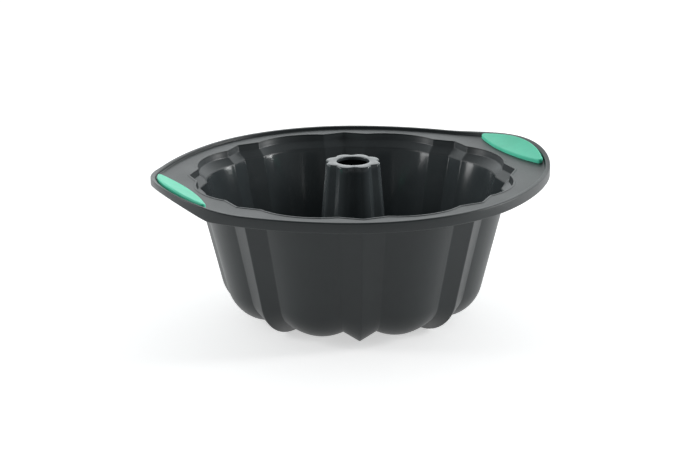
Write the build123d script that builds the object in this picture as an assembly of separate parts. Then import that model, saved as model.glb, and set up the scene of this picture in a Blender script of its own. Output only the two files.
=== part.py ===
from build123d import *
from math import asin, atan2, cos, degrees, radians, sin, sqrt, tan
import os

# Brioche mould: a fluted ring with eight sharp ridges, a hollow chimney and a flat rim with two ears.
# Millimetres, +Z up, origin in the middle of the resting plane, the ears along X.

# heights over the resting plane
bead_top = 102.0
floor_drop = 1.0
lip_rise = 1.7
skirt_drop = 5.7
ear_edge_drop = 2.5
cap_rise = 8.1

# rim, seen from above
rim_radius = 131.5
ear_reach = 14.4
ear_side_offset = 74.6
ear_side_angle = 60.0
lip_width = 3.5
lip_round = 0.9
floor_thickness = 2.5
ear_length = 31.1
ear_curve = 85.0
keel_angle = 33.3

# mouth of the cavity, its collar and the shoulder down to the wall
flange_width = 15.5
crease_depth = 4.7
bead_width = 1.6
collar_draft = 0.8
collar_depth = 5.0
shoulder_depth = 9.6
shoulder_turn = 45.0

# wall and flutes, the outer wall's line set back from the mouth where it meets the bead's plane
wall = 1.9
tip_setback = 2.5
crease_setback = 1.6
lobe_setback = 2.9
tip_foot_share = 0.2749
crease_foot_share = 0.2097
lobe_foot_share = 0.2467
rest_cut = 0.5
wall_taper = 13.52
flutes = 8
ridge_half_angle = 8.54

# chimney
stem_top = 19.8
stem_edge_depth = 0.4
stem_groove_depth = 2.6
groove_half_angle = 13.5
stem_taper = 5.2
stem_foot_drop = 6.7
stem_wall = 1.8
cap_edge = 1.0
cap_thickness = 2.2
cap_width = 8.1
core_share = 0.8

# steel strip inside the rim
strip_width = 1.2
strip_cover = 0.9
strip_height = 2.2

# grip pads on the ears
pad_depth = 22.3
pad_inner_arc = 174.0
pad_gap = 1.2
pad_rise = 2.9
pad_curve = 56.6
pad_seat = 0.8
pad_tip_round = 2.0
pad_edge_round = 1.0

# overrun of every cut
over = 5.0

# least upward share of the normal of a face that counts as a top
upward_share = 0.5

pitch = 360 / flutes
half_pitch = pitch / 2
lobe_half_angle = half_pitch - ridge_half_angle
groove_edge_angle = half_pitch - groove_half_angle

# radii of the mouth, of the wall's line and of the wall's foot, at ridges, creases and lobes
mouth_radius = rim_radius - flange_width
crease_mouth = mouth_radius - crease_depth
tip_radius = mouth_radius - tip_setback
crease_radius = crease_mouth - crease_setback
lobe_radius = mouth_radius - lobe_setback
tip_foot = tip_radius * tip_foot_share
crease_foot = crease_radius * crease_foot_share
lobe_foot = lobe_radius * lobe_foot_share

# the ridges' feet reach a little under the resting plane, which cuts them flat
foot_level = tip_foot - rest_cut
stem_level = foot_level - stem_foot_drop
cap_level = bead_top + cap_rise

# radii of the chimney, at its lobes, beside its grooves, in its grooves and at its hole
stem_edge = stem_top - stem_edge_depth
stem_groove = stem_top - stem_groove_depth
hole_radius = stem_top - cap_width

# ends of the ears, where they start to rise, and the height of their lower edge at the very end
ear_radius = rim_radius + ear_reach
ear_start = ear_radius - ear_length
ear_edge_arc = ear_curve + ear_edge_drop - floor_drop
ear_edge_level = bead_top - floor_drop + ear_curve - sqrt(ear_edge_arc**2 - ear_length**2)
pad_start = ear_radius - pad_depth

# the ear's side arc, and the end arc that runs into it without a corner
side_x = -ear_side_offset * cos(radians(ear_side_angle))
side_y = -ear_side_offset * sin(radians(ear_side_angle))
side_reach = ear_side_offset - ear_reach
end_centre = (ear_side_offset**2 - side_reach**2) / (2 * (side_reach + side_x))
end_angle = degrees(atan2(-side_y, end_centre - side_x))


def arcRadius(edge, apex, half_angle, turn):
    # radius, at this angle off the middle of a lobe, of the arc through the lobe's edges and its apex
    half_chord = edge * sin(radians(half_angle))
    sagitta = apex - edge * cos(radians(half_angle))
    arc = (half_chord**2 + sagitta**2) / (2 * sagitta)
    centre = apex - arc
    across = centre * sin(radians(turn))
    return centre * cos(radians(turn)) + sqrt(arc**2 - across**2)


def stemRadius(off_ridge):
    # radius of the chimney at the cap, straight facets in the groove and a round lobe beside it
    if off_ridge >= groove_half_angle:
        return arcRadius(stem_edge, stem_top, groove_edge_angle, half_pitch - off_ridge)
    near = stem_groove * sin(radians(off_ridge))
    far = stem_edge * sin(radians(groove_half_angle - off_ridge))
    return stem_groove * stem_edge * sin(radians(groove_half_angle)) / (near + far)


def skinPoints(mouth, line, foot, stem, inset, mouth_inset, stem_inset, collar_low, shoulder_low):
    # one face of the wall in the meridian plane, from the mouth down, under the ring and up the chimney
    slope = tan(radians(wall_taper))
    lean = tan(radians(stem_taper))
    wall_line = line - inset / cos(radians(wall_taper))
    stem_line = stem - stem_inset / cos(radians(stem_taper))
    foot_arc = foot - inset
    foot_centre = line - (bead_top - foot_level) * slope - foot / cos(radians(wall_taper))
    low = foot_level - foot + inset
    stem_arc = stem_level - low
    stem_centre = stem_line + (cap_level - stem_level) * lean + stem_arc / cos(radians(stem_taper))
    return {
        "mouth": (mouth - mouth_inset, bead_top),
        "collar": (mouth - mouth_inset - collar_draft, bead_top - collar_low),
        "shoulder": (wall_line - shoulder_low * slope, bead_top - shoulder_low),
        "foot": (foot_centre, foot_level, foot_arc),
        "stem": (stem_centre, stem_level, stem_arc),
        "low": low,
        "stem_line": stem_line,
    }


def meridian(turn, mouth, line, foot, stem):
    # closed outline of the wall in the half plane at this angle
    lean = tan(radians(stem_taper))
    corner = wall * tan(radians(shoulder_turn / 2))
    outer = skinPoints(mouth, line, foot, stem, 0, -bead_width, stem_wall,
                       collar_depth + corner, shoulder_depth + corner)
    inner = skinPoints(mouth, line, foot, stem, wall, 0, 0, collar_depth, shoulder_depth)
    cap_under = cap_level - cap_thickness
    core = hole_radius * core_share
    edges = []
    sides = []
    for skin in (outer, inner):
        foot_x, foot_z, foot_arc = skin["foot"]
        stem_x, stem_z, stem_arc = skin["stem"]
        foot_bend = CenterArc((foot_x, foot_z), foot_arc, -wall_taper, wall_taper - 90)
        stem_bend = CenterArc((stem_x, stem_z), stem_arc, -90, stem_taper - 90)
        side = [
            Line(skin["mouth"], skin["collar"]),
            Line(skin["collar"], skin["shoulder"]),
            Line(skin["shoulder"], foot_bend @ 0),
            foot_bend,
            Line(foot_bend @ 1, stem_bend @ 0),
            stem_bend,
        ]
        sides.append((side, stem_bend @ 1, skin["stem_line"]))
    outer_side, outer_end, outer_line = sides[0]
    inner_side, inner_end, inner_line = sides[1]
    under = (outer_line + cap_thickness * lean, cap_under)
    brow = (inner_line + cap_edge * lean, cap_level - cap_edge)
    crown = (inner_line - cap_edge, cap_level)
    edges += outer_side
    edges.append(Line(outer_end, under))
    edges.append(Line(under, (core, cap_under)))
    edges.append(Line((core, cap_under), (core, cap_level)))
    edges.append(Line((core, cap_level), crown))
    edges.append(Line(crown, brow))
    edges.append(Line(brow, inner_end))
    edges += inner_side[::-1]
    edges.append(Line(inner["mouth"], outer["mouth"]))
    along = (cos(radians(turn)), sin(radians(turn)), 0)
    across = (sin(radians(turn)), -cos(radians(turn)), 0)
    half_plane = Plane((0, 0, 0), x_dir=along, z_dir=across)
    return half_plane * Wire(edges)


def lobeMeridian(turn, off_lobe):
    # the same outline within a lobe, off_lobe degrees from its middle
    mouth = arcRadius(crease_mouth, mouth_radius, lobe_half_angle, off_lobe)
    line = arcRadius(crease_radius, lobe_radius, lobe_half_angle, off_lobe)
    share = (line - crease_radius) / (lobe_radius - crease_radius)
    foot = crease_foot + (lobe_foot - crease_foot) * share
    return meridian(turn, mouth, line, foot, stemRadius(half_pitch - abs(off_lobe)))


def flutedWall():
    # eight ridges of two flat facets each, and eight round lobes between them
    pieces = []
    for k in range(flutes):
        ridge = half_pitch + k * pitch
        tip = meridian(ridge, mouth_radius, tip_radius, tip_foot, stem_groove)
        for side in (-1, 1):
            crease = lobeMeridian(ridge + side * ridge_half_angle, lobe_half_angle)
            pieces.append(Solid.make_loft([tip, crease], ruled=True))
        middle = ridge + half_pitch
        steps = [-lobe_half_angle, -groove_edge_angle, -groove_edge_angle / 2, 0]
        steps += [groove_edge_angle / 2, groove_edge_angle, lobe_half_angle]
        pieces.append(Solid.make_loft([lobeMeridian(middle + s, s) for s in steps]))
    return pieces


def rimPlan(inset):
    # plan of the rim, a circle drawn out into an ear at either end of X, inset all round
    end = ear_radius - end_centre - inset
    side = rim_radius + ear_side_offset - inset
    quarter = Curve() + [
        CenterArc((end_centre, 0), end, 0, end_angle),
        CenterArc((side_x, side_y), side, end_angle, ear_side_angle - end_angle),
        CenterArc((0, 0), rim_radius - inset, ear_side_angle, 90 - ear_side_angle),
    ]
    half = quarter + mirror(quarter, Plane.XZ)
    return make_face(half + mirror(half, Plane.YZ))


def mouthPlan():
    # plan of the mouth along the middle of the collar's wall
    grow = bead_width / 2
    corners = []
    for k in range(flutes):
        ridge = half_pitch + k * pitch
        middle = ridge + half_pitch
        places = [(mouth_radius, ridge), (crease_mouth, ridge + ridge_half_angle), (mouth_radius, middle),
                  (crease_mouth, middle + lobe_half_angle)]
        corners.append([(r + grow) * Vector(cos(radians(a)), sin(radians(a))) for r, a in places])
    edges = []
    for here, ahead in zip(corners, corners[1:] + corners[:1]):
        tip, crease, lobe, far = here
        edges += [Line(tip, crease), ThreePointArc(crease, lobe, far), Line(far, ahead[0])]
    return make_face(edges)


def prism(plan):
    # a plan drawn up through the whole height
    return extrude(Pos(0, 0, -over) * plan, bead_top + ear_radius)


def band(top, under, top_curve=ear_curve):
    # a slab across the mould that curves up at both ears, between two levels over the bead
    foot = bead_top - floor_drop
    edges = []
    ends = []
    for level, curve in ((top, top_curve), (under, ear_curve)):
        arc = curve - level - floor_drop
        sweep = degrees(asin((ear_radius + over - ear_start) / arc))
        right = CenterArc((ear_start, foot + curve), arc, -90, sweep)
        left = CenterArc((-ear_start, foot + curve), arc, -90, -sweep)
        edges += [left, Line(left @ 0, right @ 0), right]
        ends.append((left @ 1, right @ 1))
    edges += [Line(ends[0][0], ends[1][0]), Line(ends[0][1], ends[1][1])]
    return extrude(Plane.XZ * make_face(edges), ear_radius, both=True)


def keel():
    # all that lies over the skirt's lower edge, level round the mould and rising straight to the ears' ends
    slope = tan(radians(keel_angle))
    low = bead_top - skirt_drop
    start = ear_radius - (ear_edge_level - low) / slope
    end = ear_radius + over
    end_level = ear_edge_level + over * slope
    top = bead_top + ear_radius
    points = [(-end, end_level), (-start, low), (start, low), (end, end_level), (end, top), (-end, top)]
    return extrude(Plane.XZ * make_face(Polyline(*points, close=True)), ear_radius, both=True)


def roundTop(shape, radius):
    # round the edges about the faces that look up, but not the seams between two of them
    edges = [e for f in shape.faces() if f.normal_at().Z > upward_share for e in f.edges()]
    free = [e for e in edges if sum(e.is_same(other) for other in edges) == 1]
    return fillet(free, radius)


def gripPad():
    # the pad of the ear on +X, a lens that thickens outwards, rounded at its tips and along its upper edge
    outer = Pos(end_centre, 0) * Circle(ear_radius - end_centre - lip_width - pad_gap)
    inner = Pos(pad_start + pad_inner_arc, 0) * Circle(pad_inner_arc)
    lens = outer & inner
    lens = fillet(lens.vertices(), pad_tip_round)
    blank = prism(lens) & band(pad_rise - floor_drop, -floor_drop - pad_seat, pad_curve)
    return blank, roundTop(blank, pad_edge_round)


# rim and its lip
floor_plan = prism(rimPlan(lip_width / 2)) - prism(mouthPlan())
floor = floor_plan & band(-floor_drop, -floor_drop - floor_thickness) & keel()
lip_ring = prism(rimPlan(0)) - prism(rimPlan(lip_width))
lip = roundTop(lip_ring & band(lip_rise, -skirt_drop - over) & keel(), lip_round)

# steel strip, sealed in the lip
strip_inset = (lip_width - strip_width) / 2
strip_ring = prism(rimPlan(strip_inset)) - prism(rimPlan(lip_width - strip_inset))
rim_frame = strip_ring & band(lip_rise - strip_cover, lip_rise - strip_cover - strip_height)

# grips
blank, right_grip = gripPad()
left_grip = mirror(right_grip, Plane.YZ)
seats = [blank, mirror(blank, Plane.YZ)]

# body in one piece
pieces = flutedWall() + [floor.solid(), lip.solid()]
hole = Cylinder(hole_radius, 2 * (bead_top + ear_radius))
under_rest = Pos(0, 0, -over / 2) * Box(2 * ear_radius, 2 * ear_radius, over)
mould_body = pieces[0].fuse(*pieces[1:]).cut(hole.solid(), under_rest.solid(), rim_frame.solid(), *seats)

nodes = {
    "mould_body": mould_body,
    "rim_frame": rim_frame,
    "left_grip": left_grip,
    "right_grip": right_grip,
}
os.makedirs("parts", exist_ok=True)
for name, shape in nodes.items():
    export_step(shape, "parts/" + name + ".step")
    print(name, "valid" if shape.is_valid else "not valid", round(shape.volume), "cubic mm")
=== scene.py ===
from math import atan2, cos, hypot, pi, radians, sin, sqrt, tan

import bpy
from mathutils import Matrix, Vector


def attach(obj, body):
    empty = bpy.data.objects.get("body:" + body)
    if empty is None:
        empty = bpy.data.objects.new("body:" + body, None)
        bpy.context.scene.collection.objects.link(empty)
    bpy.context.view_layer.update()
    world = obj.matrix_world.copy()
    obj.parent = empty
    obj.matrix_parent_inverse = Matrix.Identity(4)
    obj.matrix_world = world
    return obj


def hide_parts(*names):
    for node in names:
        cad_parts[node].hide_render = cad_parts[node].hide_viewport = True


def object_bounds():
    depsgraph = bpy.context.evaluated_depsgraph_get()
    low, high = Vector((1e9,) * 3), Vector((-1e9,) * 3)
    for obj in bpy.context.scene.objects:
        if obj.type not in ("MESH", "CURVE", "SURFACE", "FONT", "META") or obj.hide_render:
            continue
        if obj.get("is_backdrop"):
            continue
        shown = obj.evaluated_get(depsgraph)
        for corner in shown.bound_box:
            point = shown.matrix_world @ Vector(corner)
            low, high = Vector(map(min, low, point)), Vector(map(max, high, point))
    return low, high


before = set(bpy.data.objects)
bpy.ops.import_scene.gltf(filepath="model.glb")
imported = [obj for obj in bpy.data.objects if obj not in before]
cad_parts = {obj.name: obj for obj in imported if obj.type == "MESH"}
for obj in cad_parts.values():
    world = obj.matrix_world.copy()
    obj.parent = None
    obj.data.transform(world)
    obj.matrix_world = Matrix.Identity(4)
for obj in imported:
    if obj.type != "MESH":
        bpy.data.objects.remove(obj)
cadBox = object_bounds()
bpy.context.scene.view_settings.view_transform = "Standard"
print("frame loaded", [round(c, 4) for c in cadBox[1]])

mm = 0.001


def feed(tree, node, inputs):
    # values go into a node's sockets, wires are linked to them
    for name, value in inputs.items():
        if isinstance(value, Wire):
            tree.links.new(value.socket, node.inputs[name])
        else:
            node.inputs[name].default_value = value


class Wire:
    # a socket of a material; arithmetic on it adds Math nodes
    def __init__(self, tree, socket=None):
        self.tree = tree
        self.socket = socket

    def node(self, kind, settings=None, values=None, out=0):
        made = self.tree.nodes.new(kind)
        for name, value in (settings or {}).items():
            setattr(made, name, value)
        feed(self.tree, made, values or {})
        return Wire(self.tree, made.outputs[out])

    def maths(self, operation, first, second):
        return self.node("ShaderNodeMath", {"operation": operation}, {0: first, 1: second})

    def __add__(self, other):
        return self.maths("ADD", self, other)

    def __radd__(self, other):
        return self.maths("ADD", other, self)

    def __sub__(self, other):
        return self.maths("SUBTRACT", self, other)

    def __rsub__(self, other):
        return self.maths("SUBTRACT", other, self)

    def __mul__(self, other):
        return self.maths("MULTIPLY", self, other)

    def __rmul__(self, other):
        return self.maths("MULTIPLY", other, self)

    def ease(self, low, high):
        # 0 below low, 1 above high, smooth between
        span = {"From Min": low, "From Max": high, "Value": self}
        return self.node("ShaderNodeMapRange", {"interpolation_type": "SMOOTHSTEP"}, span)

    def blend(self, first, second):
        # self mixes two colours
        return self.node("ShaderNodeMix", {"data_type": "RGBA"}, {0: self, 6: first, 7: second}, 2)

    def noise(self, place, scale, detail):
        return self.node("ShaderNodeTexNoise", None, {"Vector": place, "Scale": scale, "Detail": detail})


def newMaterial(name):
    material = bpy.data.materials.new(name)
    material.use_nodes = True
    wire = Wire(material.node_tree)
    return material, wire, material.node_tree.nodes["Principled BSDF"]


def objectPlace(wire):
    return wire.node("ShaderNodeTexCoord", out=3)


# finishes: two colours that cloud into each other, roughness with its changes, and grain
satin = {
    "colour": (0.0215, 0.0265, 0.028, 1), "dark": (0.0185, 0.023, 0.0245, 1),
    "rough": 0.4, "cloudRough": 0.1, "speckRough": 0.05, "grain": 0.05, "cloud": 38.0, "fine": 2600.0,
}
# the same silicone, glossier, with its colour painted lighter: painted light standing in for the brighter
# cavity
glossPaintedLighter = {
    "colour": (0.06, 0.07, 0.074, 1), "dark": (0.053, 0.062, 0.066, 1),
    "rough": 0.13, "cloudRough": 0.1, "speckRough": 0.05, "grain": 0.02, "cloud": 38.0, "fine": 2600.0,
}
# the same silicone, duller, for the collar and shoulder, with its colour also painted lighter: painted light
# matching the cavity wall's tone
collarPaintedLighter = {
    "colour": (0.046, 0.0535, 0.0565, 1), "dark": (0.0405, 0.047, 0.05, 1),
    "rough": 0.34, "cloudRough": 0.1, "speckRough": 0.05, "grain": 0.03, "cloud": 38.0, "fine": 2600.0,
}
mint = {
    "colour": (0.12, 0.87, 0.57, 1), "dark": (0.1, 0.8, 0.51, 1),
    "rough": 0.45, "cloudRough": 0.12, "grain": 0.06, "cloud": 60.0, "fine": 2200.0,
}
moulded = {
    "cloudDetail": 4.0, "detail": 2.0, "speck": 900.0, "band": (0.35, 0.65), "depth": 0.0004, "ior": 1.43,
}
steel = {"colour": (0.55, 0.56, 0.57, 1), "rough": 0.35, "streakRough": 0.1, "streak": 90.0, "detail": 3.0,
         "stretch": (1, 1, 40)}


def silicone(name, look):
    material, wire, shader = newMaterial(name)
    place = objectPlace(wire)
    cloud = wire.noise(place, look["cloud"], moulded["cloudDetail"])
    fine = wire.noise(place, look["fine"], moulded["detail"])
    colour = cloud.ease(*moulded["band"]).blend(look["dark"], look["colour"])
    rough = look["rough"] + (cloud - 0.5) * look["cloudRough"]
    if "speckRough" in look:
        speck = wire.noise(place, moulded["speck"], moulded["detail"])
        rough = rough + (speck - 0.5) * look["speckRough"]
    bump = wire.node("ShaderNodeBump", None,
                     {"Strength": look["grain"], "Distance": moulded["depth"], "Height": fine})
    feed(wire.tree, shader,
         {"Base Color": colour, "Roughness": rough, "Normal": bump, "IOR": moulded["ior"]})
    return material


def steelMaterial():
    material, wire, shader = newMaterial("steelStrip")
    stretched = wire.node("ShaderNodeMapping", None, {"Vector": objectPlace(wire), "Scale": steel["stretch"]})
    streak = wire.noise(stretched, steel["streak"], steel["detail"])
    rough = steel["rough"] + streak * steel["streakRough"]
    feed(wire.tree, shader, {"Base Color": steel["colour"], "Metallic": 1.0, "Roughness": rough})
    return material


siliconeSatin = silicone("siliconeSatin", satin)
siliconeGlossPaintedLighter = silicone("siliconeGlossPaintedLighter", glossPaintedLighter)
siliconeCollarPaintedLighter = silicone("siliconeCollarPaintedLighter", collarPaintedLighter)
siliconeMint = silicone("siliconeMint", mint)
steelStrip = steelMaterial()
print("finishes made")

# mould body, in millimetres and degrees; the flange's floor is shown a little higher than in the solids
body = {
    # two heights over the resting plane, then drops, rises and depths from beadTop
    "beadTop": 102.0, "earEdge": 105.284, "floorDrop": 1.0, "shownDrop": 0.3, "lipRise": 1.7,
    "skirtDrop": 5.7, "capRise": 8.1, "footDepth": 71.3, "stemFootDepth": 78.0,
    # radii of the mouth, of the wall's line at beadTop and of the foot's rounding
    "tip": (116.0, 113.5, 31.2), "crease": (111.3, 109.7, 23.0), "lobe": (116.0, 113.1, 27.9),
    # wall
    "wall": 1.9, "wallTaper": 13.52, "ridgeHalf": 8.54, "flutes": 8, "softening": 0.4, "smoothAngle": 38,
    "collarDraft": 0.8, "collarDepth": 5.0, "shoulderDepth": 9.6, "shoulderTurn": 45.0,
    # chimney
    "stemTop": 19.8, "stemEdge": 19.4, "stemGroove": 17.2, "grooveHalf": 13.5, "stemTaper": 5.2,
    "stemWall": 1.8, "capThickness": 2.2, "hole": 11.7,
    # rim, with the bead round the mouth, the lip and the ears
    "rim": 131.5, "ear": 145.895, "sideOffset": 74.6, "sideAngle": 60.0, "lipWidth": 3.5,
    "floorThickness": 2.5, "earStart": 114.8, "earCurve": 85.0, "keelAngle": 33.3, "beadWidth": 1.6,
    "beadSpread": 0.8, "beadLean": 0.1, "mouthDepth": 1.0, "mouthOver": 0.5, "mouthSlip": 0.001,
    "floorLap": 1.0, "floorEdge": 1.2, "underRound": 0.8, "heelLeast": 0.02, "tuckShare": 0.4,
    "tuckMost": 0.5, "overlap": 0.01, "hair": 1e-9,
    # roundings, each a radius and its steps
    "collarRound": (1.6, 4), "shoulderRound": (3.0, 7), "capRound": (1.1, 5), "holeRound": (0.45, 3),
    "skirtRound": (0.8, 3), "lipRound": (0.9, 5), "lipFoot": (0.7, 3), "beadFoot": (0.3, 2),
    "beadRound": (0.2, 4), "mouthRound": (0.35, 4), "footSteps": 16, "stemFootSteps": 10, "tuckSteps": 2,
    # extra rows along the long stretches, and the parts of the floor and of the underside
    "wallRows": (0.04, 0.35, 0.65, 0.96), "stemRows": (0.05, 0.5, 0.95), "middleRow": (0.5,),
    "floorParts": 5, "underParts": 4,
}
# columns off each ridge, closer at creases and at the chimney's grooves
offsets = [0, 0.17, 0.34, 0.51, 0.72, 1.1, 1.8, 3.0, 4.3, 5.6, 6.7, 7.4, 7.8, 8.03, 8.2, 8.37, 8.54, 8.71,
           8.88, 9.05, 9.3, 9.7, 10.4, 11.4, 12.4, 13.1, 13.5, 13.9, 14.8, 16.2, 17.8, 19.4, 21.0]
# steps of the softening to both sides, with their weights
softSteps = [(-1, 1), (-0.67, 2), (-0.33, 3), (0, 4), (0.33, 3), (0.67, 2), (1, 1)]

pitch = 360 / body["flutes"]
halfPitch = pitch / 2
slope = tan(radians(body["wallTaper"]))
lean = tan(radians(body["stemTaper"]))
keelSlope = tan(radians(body["keelAngle"]))
rimFoot = body["beadTop"] - body["floorDrop"]
capTop = body["beadTop"] + body["capRise"]
underDrop = body["floorDrop"] + body["floorThickness"]

# centres of the ear's side arc and of its end arc, and the angle at which they meet
sideX = -body["sideOffset"] * cos(radians(body["sideAngle"]))
sideY = -body["sideOffset"] * sin(radians(body["sideAngle"]))
sideReach = body["rim"] + body["sideOffset"] - body["ear"]
endCentre = (body["sideOffset"] ** 2 - sideReach ** 2) / (2 * (sideReach + sideX))
endAngle = atan2(-sideY, endCentre - sideX)


def polar(radius, turn, z):
    return Vector((radius * cos(radians(turn)), radius * sin(radians(turn)), z))


def arcRadius(edge, apex, half, turn):
    # radius, at this angle off a lobe's middle, of the arc through the lobe's two edges and its apex
    chord = edge * sin(radians(half))
    sagitta = apex - edge * cos(radians(half))
    arc = (chord ** 2 + sagitta ** 2) / (2 * sagitta)
    centre = apex - arc
    return centre * cos(radians(turn)) + sqrt(arc ** 2 - (centre * sin(radians(turn))) ** 2)


def stemRadius(off):
    # radius of the chimney at the cap, a straight facet in the groove and a round lobe beside it
    if off >= body["grooveHalf"]:
        return arcRadius(body["stemEdge"], body["stemTop"], halfPitch - body["grooveHalf"], halfPitch - off)
    near = body["stemGroove"] * sin(radians(off))
    far = body["stemEdge"] * sin(radians(body["grooveHalf"] - off))
    return body["stemGroove"] * body["stemEdge"] * sin(radians(body["grooveHalf"])) / (near + far)


def rounded(points, runs):
    # a line through (r, z, radius, steps) with its corners rounded, and extra points along its long runs
    line = []
    for i, (r, z, radius, steps) in enumerate(points):
        if radius == 0 or i in (0, len(points) - 1):
            line.append((r, z))
        else:
            here = Vector((r, z))
            back = (Vector(points[i - 1][:2]) - here).normalized()
            on = (Vector(points[i + 1][:2]) - here).normalized()
            half = back.angle(on) / 2
            middle = here + (back + on).normalized() * (radius / sin(half))
            start = here + back * (radius / tan(half)) - middle
            end = here + on * (radius / tan(half)) - middle
            turn = start.angle(end)
            for k in range(steps + 1):
                share = k / steps
                spot = (start * sin((1 - share) * turn) + end * sin(share * turn)) / sin(turn)
                line.append(tuple(middle + spot))
        if i in runs:
            line.append(("run", runs[i]))
    filled = []
    for i, spot in enumerate(line):
        if spot[0] == "run":
            first, last = line[i - 1], line[i + 1]
            filled += [tuple(a + (b - a) * s for a, b in zip(first, last)) for s in spot[1]]
        else:
            filled.append(spot)
    return filled


def skinLine(mouth, line, foot, stem, outside):
    # one face of the wall, from the mouth down, under the ring and up the chimney
    top = body["beadTop"]
    inset = 0 if outside else body["wall"]
    corner = body["wall"] * tan(radians(body["shoulderTurn"] / 2)) if outside else 0
    wallLine = line - inset / cos(radians(body["wallTaper"]))
    stemLine = stem - (body["stemWall"] / cos(radians(body["stemTaper"])) if outside else 0)
    low = top - body["footDepth"] - foot + inset
    collarLow = body["collarDepth"] + corner
    shoulderLow = body["shoulderDepth"] + corner
    mouthOut = mouth + (body["beadWidth"] if outside else 0)
    if outside:
        share = underDrop / collarLow
        points = [(mouthOut - body["collarDraft"] * share, top - underDrop, 0, 0)]
    else:
        points = [(mouthOut + body["mouthSlip"], top + body["mouthOver"], 0, 0)]
    points += [
        (mouthOut - body["collarDraft"], top - collarLow, *body["collarRound"]),
        (wallLine - shoulderLow * slope, top - shoulderLow, *body["shoulderRound"]),
        (wallLine - (top - low) * slope, low, foot - inset, body["footSteps"]),
        (stemLine + (capTop - low) * lean, low, top - body["stemFootDepth"] - low, body["stemFootSteps"]),
    ]
    runs = {0: body["middleRow"], 2: body["wallRows"], 3: body["middleRow"], 4: body["stemRows"]}
    if outside:
        points += [(stemLine + body["capThickness"] * lean, capTop - body["capThickness"], 0, 0)]
    else:
        points += [
            (stemLine, capTop, *body["capRound"]),
            (body["hole"], capTop, *body["holeRound"]),
            (body["hole"], capTop - body["capThickness"], 0, 0),
        ]
        runs[5] = body["middleRow"]
    return rounded(points, runs)


def section(off):
    # the radii of mouth, wall, foot and chimney in a lobe, at this angle off the nearest ridge
    half = halfPitch - body["ridgeHalf"]
    mouth = arcRadius(body["crease"][0], body["lobe"][0], half, halfPitch - off)
    line = arcRadius(body["crease"][1], body["lobe"][1], half, halfPitch - off)
    share = (line - body["crease"][1]) / (body["lobe"][1] - body["crease"][1])
    return mouth, line, body["crease"][2] + (body["lobe"][2] - body["crease"][2]) * share, stemRadius(off)


# the lines of a ridge and of a crease, inside and outside
facetLines = {outside: (skinLine(*body["tip"], body["stemGroove"], outside),
                        skinLine(*section(body["ridgeHalf"]), outside)) for outside in (False, True)}
insideRows = len(facetLines[False][0])


def wallColumn(turn):
    # both faces of the wall at this angle, facets straight from ridge to crease
    off = (turn % pitch) - halfPitch
    ridge = turn - off
    side = 1 if off >= 0 else -1
    off = abs(off)
    spots = []
    if off < body["ridgeHalf"]:
        edge = ridge + side * body["ridgeHalf"]
        near = body["tip"][0] * sin(radians(off))
        far = body["crease"][0] * sin(radians(body["ridgeHalf"] - off))
        for outside in (False, True):
            for (r1, z1), (r2, z2) in zip(*facetLines[outside]):
                spots.append(polar(r1, ridge, z1).lerp(polar(r2, edge, z2), near / (near + far)))
    else:
        for outside in (False, True):
            for r, z in skinLine(*section(off), outside):
                spots.append(polar(r, turn, z))
    return spots


def averaged(turn):
    # the same, averaged over a short arc, which rounds ridges and creases
    columns = [(wallColumn(turn + body["softening"] * step), weight) for step, weight in softSteps]
    total = sum(weight for column, weight in columns)
    return [sum((column[i] * weight for column, weight in columns), Vector()) / total
            for i in range(len(columns[0][0]))]


fluteColumns = {}


def softColumn(turn):
    # one flute's columns are worked out once and turned round for the other seven
    key = round(turn % pitch, 3)
    if key not in fluteColumns:
        fluteColumns[key] = averaged(key)
    c, s = cos(radians(turn - key)), sin(radians(turn - key))
    return [Vector((spot.x * c - spot.y * s, spot.x * s + spot.y * c, spot.z)) for spot in fluteColumns[key]]


def rimSpot(turn):
    # the rim's outline at this angle, and the direction out of it; the arcs' limits have a little slack
    x, y = cos(radians(turn)), sin(radians(turn))
    signX, signY = (1 if x >= 0 else -1), (1 if y >= 0 else -1)
    x, y = abs(x), abs(y)
    for cx, cy, radius, low, high in (
        (endCentre, 0, body["ear"] - endCentre, -body["overlap"], endAngle),
        (sideX, sideY, body["rim"] + body["sideOffset"], endAngle, radians(body["sideAngle"])),
        (0, 0, body["rim"], radians(body["sideAngle"]), pi),
    ):
        along = x * cx + y * cy
        reach = along + sqrt(along ** 2 - cx ** 2 - cy ** 2 + radius ** 2)
        px, py = reach * x, reach * y
        angle = atan2(py - cy, px - cx)
        if low <= angle <= high + body["hair"]:
            return Vector((px * signX, py * signY, 0)), Vector((cos(angle) * signX, sin(angle) * signY, 0))


def level(x, rise):
    # height of a level that follows the rim, flat across the mould and curved up at the ears
    beyond = max(abs(x) - body["earStart"], 0)
    arc = body["earCurve"] - rise - body["floorDrop"]
    return rimFoot + body["earCurve"] - sqrt(arc ** 2 - beyond ** 2)


def levelled(spots, rise):
    return [Vector((spot.x, spot.y, level(spot.x, rise))) for spot in spots]


def edgeRise(x):
    # the skirt's lower edge, level round the mould and rising straight to the ears' ends, as a rise
    low = body["beadTop"] - body["skirtDrop"]
    start = body["ear"] - (body["earEdge"] - low) / keelSlope
    edge = low + max(abs(x) - start, 0) * keelSlope
    beyond = max(abs(x) - body["earStart"], 0)
    return body["earCurve"] - body["floorDrop"] - hypot(rimFoot + body["earCurve"] - edge, beyond)


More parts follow.
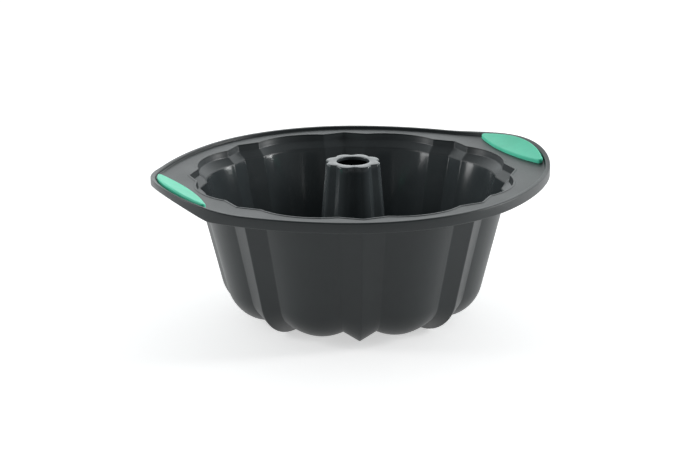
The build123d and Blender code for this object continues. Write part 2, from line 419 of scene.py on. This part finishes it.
def rimColumn(turn):
    # from the underside out under the rim, over the lip and in to the floor
    edge, out = rimSpot(turn)
    lipIn = body["lipWidth"]
    heel = min(edgeRise((edge - out * lipIn).x), -underDrop - body["heelLeast"])
    tuck = min(body["tuckShare"] * (-underDrop - heel), body["tuckMost"])
    lineOut = [
        (lipIn + body["floorLap"], -underDrop, 0, 0),
        (lipIn, -underDrop, tuck, body["tuckSteps"]),
        (lipIn, heel, tuck, body["tuckSteps"]),
        (0, edgeRise(edge.x), *body["skirtRound"]),
        (0, body["lipRise"], *body["lipRound"]),
        (lipIn, body["lipRise"], *body["lipRound"]),
        (lipIn, -body["shownDrop"], *body["lipFoot"]),
        (lipIn + body["floorEdge"], -body["shownDrop"], 0, 0),
    ]
    spots = []
    for inset, rise in rounded(lineOut, {3: body["middleRow"], 4: body["middleRow"]}):
        spots += levelled([edge - out * inset], rise)
    return spots


def beadColumn(mouth, direction):
    # the bead, a rounded strip round the mouth, from the floor in to the collar
    inner = hypot(mouth.x, mouth.y)
    outer = inner + body["beadWidth"]
    low = body["beadTop"] - body["shownDrop"]
    line = rounded([
        (outer + body["beadSpread"], low, 0, 0),
        (outer + body["beadLean"], low, *body["beadFoot"]),
        (outer - body["beadLean"], body["beadTop"], *body["beadRound"]),
        (inner, body["beadTop"], *body["mouthRound"]),
        (inner - body["beadLean"], body["beadTop"] - body["mouthDepth"], 0, 0),
    ], {})
    spots = []
    for r, z in line:
        spot = direction * r
        spots.append(Vector((spot.x, spot.y, z)))
    # the first spot and the foot's rounding but its last row follow the floor
    onFloor = 1 + body["beadFoot"][1]
    return levelled(spots[:onFloor], -body["shownDrop"]) + spots[onFloor:]


def bodyColumn(turn):
    # one closed loop of the body, from the cap's hole over the cavity and the rim and back underneath
    wall = softColumn(turn)
    inside, outside = wall[:insideRows], wall[insideRows:]
    mouth, outer = inside[0], outside[0]
    direction = Vector((mouth.x, mouth.y, 0)).normalized()
    rim = rimColumn(turn)
    bead = beadColumn(mouth, direction)
    parts = body["floorParts"]
    floor = levelled([rim[-1].lerp(bead[0], k / parts) for k in range(1, parts)], -body["shownDrop"])
    parts = body["underParts"]
    first = Vector((outer.x, outer.y, 0)) + direction * body["underRound"]
    under = levelled([first.lerp(rim[0], k / parts) for k in range(parts)], -underDrop)
    outer.z = level(outer.x, -underDrop) - body["underRound"]
    loop = inside[1:][::-1] + bead[::-1] + floor[::-1] + rim[::-1] + under[::-1] + outside
    return [Vector((spot.x, spot.y, max(spot.z, 0))) for spot in loop]


def deselectAll():
    if bpy.context.object and bpy.context.object.mode != "OBJECT":
        bpy.ops.object.mode_set(mode="OBJECT")
    bpy.ops.object.select_all(action="DESELECT")


def makeBody():
    turns = []
    for k in range(body["flutes"]):
        ridge = halfPitch + pitch * k
        turns += [ridge - o for o in offsets[:0:-1]] + [ridge + o for o in offsets] + [pitch * (k + 1)]
    columns = [bodyColumn(turn) for turn in turns]
    rows = len(columns[0])
    count = len(columns)
    deselectAll()
    top = (0, 0, body["beadTop"] * mm)
    bpy.ops.mesh.primitive_circle_add(vertices=count, radius=body["hole"] * mm, location=top)
    piece = bpy.context.object
    piece.name = "mouldBody"
    bpy.ops.object.mode_set(mode="EDIT")
    bpy.ops.mesh.select_all(action="SELECT")
    for row in range(1, rows):
        bpy.ops.mesh.extrude_region_move(TRANSFORM_OT_translate={"value": (0, 0, -mm)})
    bpy.ops.object.mode_set(mode="OBJECT")
    bpy.ops.object.transform_apply(location=True)
    for vertex in piece.data.vertices:
        vertex.co = columns[vertex.index % count][vertex.index // count] * mm
    # closed between the hole's lower edge and the cap's underside
    bpy.ops.object.mode_set(mode="EDIT")
    bpy.ops.mesh.select_all(action="DESELECT")
    bpy.ops.mesh.select_mode(type="EDGE")
    bpy.ops.mesh.select_non_manifold(use_wire=False, use_multi_face=False, use_non_contiguous=False,
                                     use_verts=False)
    bpy.ops.mesh.bridge_edge_loops()
    bpy.ops.mesh.select_all(action="SELECT")
    bpy.ops.mesh.normals_make_consistent(inside=False)
    bpy.ops.object.mode_set(mode="OBJECT")
    for material in (siliconeSatin, siliconeGlossPaintedLighter, siliconeCollarPaintedLighter):
        piece.data.materials.append(material)
    # glossy, and painted lighter as painted light in the cavity, from the hole in the cap to the foot of the
    # shoulder; duller and also painted lighter up to the mouth; the rest satin
    mouthRows = 1 + len(body["middleRow"])
    glossRows = insideRows - mouthRows - (body["collarRound"][1] + 1) - (body["shoulderRound"][1] + 1)
    for face in piece.data.polygons:
        faceRows = [vertex // count for vertex in face.vertices]
        if min(faceRows) < glossRows and max(faceRows) < rows - 1:
            face.material_index = 1
        elif glossRows <= min(faceRows) < insideRows - 1:
            face.material_index = 2
    bpy.ops.object.shade_smooth_by_angle(angle=radians(body["smoothAngle"]))
    return piece


mouldBody = makeBody()
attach(mouldBody, "root")
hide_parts("mould_body")
print("body made", len(mouldBody.data.polygons), "faces")

# the grips and the hidden strip keep the solids' own meshes
for node, material in (("left_grip", siliconeMint), ("right_grip", siliconeMint), ("rim_frame", steelStrip)):
    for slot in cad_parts[node].material_slots:
        slot.material = material
print("grips and strip finished")

# floor, backdrop, lamps and camera; the backdrop is brightest behind the mould and dark overhead
studio = {
    "floor": 12.8, "floorColour": (0.9, 0.9, 0.9, 1), "floorRough": 0.9, "lift": 0.55,
    "back": 1.65, "front": 0.25, "facing": (0.434, 0.901), "turn": (-0.3, 0.6),
    "zenith": 0.4, "band": (0.35, 0.8), "cool": (0.96, 1.0, 1.01, 1), "white": (1, 1, 1, 1),
    "aim": (0, 0, 0.06),
    "lamps": {  # place, width, height and power
        "leftBox": ((-1.2, 0.5, 0.5), 0.35, 0.8, 6.0),
        "rightBox": ((1.3, -0.5, 0.45), 0.3, 0.6, 10.0),
    },
    "camera": (-0.553421, -1.146848, 0.451038), "cameraTurn": (72.7843, 0.2108, -25.7219),
    "sensor": 36, "lens": 95.308,
}


def makeFloor():
    deselectAll()
    bpy.ops.mesh.primitive_plane_add(size=studio["floor"], location=(0, 0, 0))
    floor = bpy.context.object
    floor.name = "floor"
    material, wire, shader = newMaterial("paleFloor")
    # the camera and mirrored rays see the floor a little brighter, so that it meets the white backdrop
    path = wire.node("ShaderNodeLightPath")
    seen = path + Wire(path.tree, path.socket.node.outputs["Is Glossy Ray"])
    lift = wire.node("ShaderNodeCombineColor", None, {n: seen * studio["lift"] for n in range(3)})
    feed(wire.tree, shader, {"Base Color": studio["floorColour"], "Roughness": studio["floorRough"],
                             "Emission Color": lift, "Emission Strength": 1.0})
    floor.data.materials.append(material)
    floor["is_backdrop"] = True


def makeWorld():
    world = bpy.data.worlds.new("studio")
    bpy.context.scene.world = world
    world.use_nodes = True
    tree = world.node_tree
    tree.nodes.clear()
    wire = Wire(tree)
    camera = wire.node("ShaderNodeLightPath")
    ray = wire.node("ShaderNodeTexCoord")
    x, y, z = [wire.node("ShaderNodeSeparateXYZ", None, {0: ray}, n) for n in range(3)]
    facing = x * studio["facing"][0] + y * studio["facing"][1]
    around = studio["front"] + facing.ease(*studio["turn"]) * (studio["back"] - studio["front"])
    bright = around * (1 - z.ease(*studio["band"]) * (1 - studio["zenith"]))
    strength = bright + camera * (1 - bright)
    tint = camera.blend(studio["cool"], studio["white"])
    shade = wire.node("ShaderNodeBackground", None, {"Color": tint, "Strength": strength})
    output = tree.nodes.new("ShaderNodeOutputWorld")
    tree.links.new(shade.socket, output.inputs["Surface"])


def addLamp(name, place, width, height, power):
    deselectAll()
    aim = (Vector(studio["aim"]) - Vector(place)).to_track_quat("-Z", "Y").to_euler()
    bpy.ops.object.light_add(type="AREA", location=place, rotation=aim)
    lamp = bpy.context.object
    lamp.name = name
    lamp.data.shape = "RECTANGLE"
    lamp.data.size = width
    lamp.data.size_y = height
    lamp.data.energy = power


def makeCamera():
    deselectAll()
    turn = [radians(angle) for angle in studio["cameraTurn"]]
    bpy.ops.object.camera_add(location=studio["camera"], rotation=turn)
    camera = bpy.context.object
    camera.data.sensor_width = studio["sensor"]
    camera.data.lens = studio["lens"]
    bpy.context.scene.camera = camera


makeFloor()
makeWorld()
for name, lamp in studio["lamps"].items():
    addLamp(name, *lamp)
makeCamera()
print("studio made")

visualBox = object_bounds()
for name, box in (("cad", cadBox), ("visual", visualBox)):
    print(name, [[round(v, 4) for v in corner] for corner in box])
